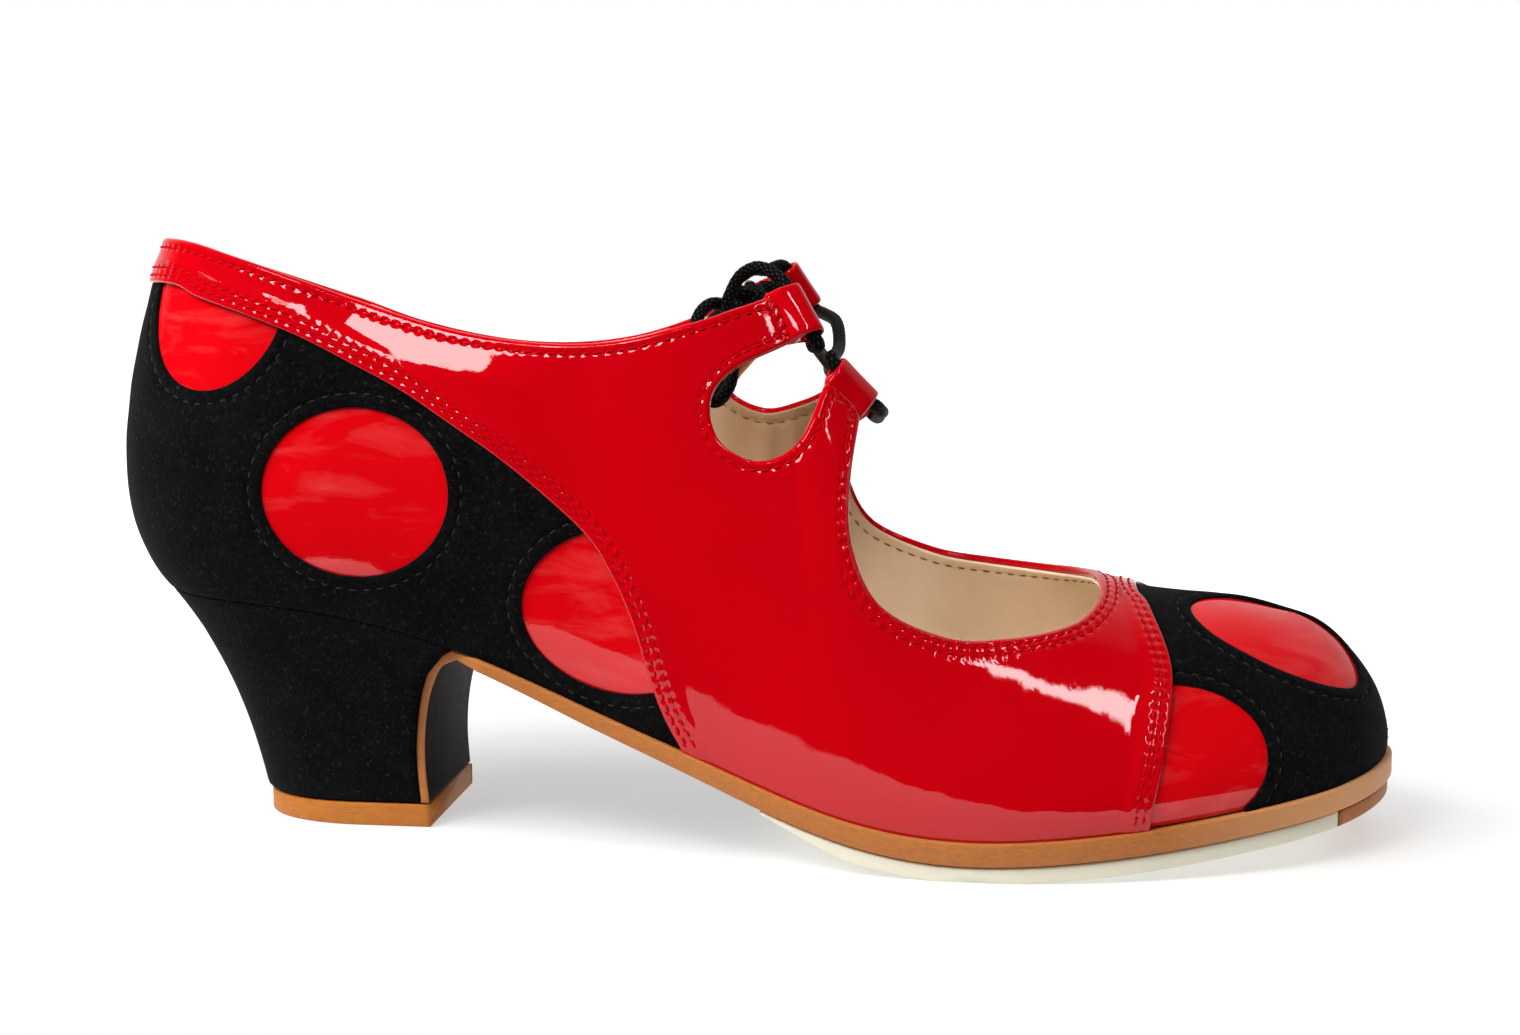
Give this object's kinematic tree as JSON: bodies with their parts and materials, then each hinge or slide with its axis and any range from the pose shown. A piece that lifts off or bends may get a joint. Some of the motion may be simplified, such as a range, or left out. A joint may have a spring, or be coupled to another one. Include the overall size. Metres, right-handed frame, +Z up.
{
  "type": "flamenco shoe",
  "caption": "Heeled dance shoe of red patent leather and black suede with round cut-outs, lace tabs over the instep and a flared covered heel.",
  "frame": {"origin": "middle of the box round the shoe without its loose lace, on the floor", "axes": "+X towards the toe, +Y towards the inner side of the foot, +Z up"},
  "size_m": [0.2425, 0.0852, 0.111],
  "materials": {
    "patent_leather": "red patent leather with a high gloss",
    "suede_cover": "black suede",
    "sole_leather": "tan sole leather with a trimmed edge",
    "tread_rubber": "cream rubber sheet",
    "lining_leather": "beige lining leather",
    "lace_cord": "round braided black cord",
    "lace_tip": "rolled copper-coloured metal"
  },
  "bodies": {
    "root": {"upper": "patent_leather", "outsole": "sole_leather", "half_sole": "tread_rubber", "toe_piece": "sole_leather", "insole": "lining_leather", "heel_block": "suede_cover", "heel_top_piece": "sole_leather", "lace_loop_outer_upper": "patent_leather", "lace_loop_outer_lower": "patent_leather", "lace_loop_inner_upper": "patent_leather", "lace_loop_inner_lower": "patent_leather", "lace": "lace_cord", "lace_knot": "lace_cord", "lace_bow_outer": "lace_cord", "lace_bow_inner": "lace_cord", "lace_end_outer": "lace_cord", "lace_end_inner": "lace_cord", "lace_tip_outer": "lace_tip", "lace_tip_inner": "lace_tip"}
  },
  "joints": []
}
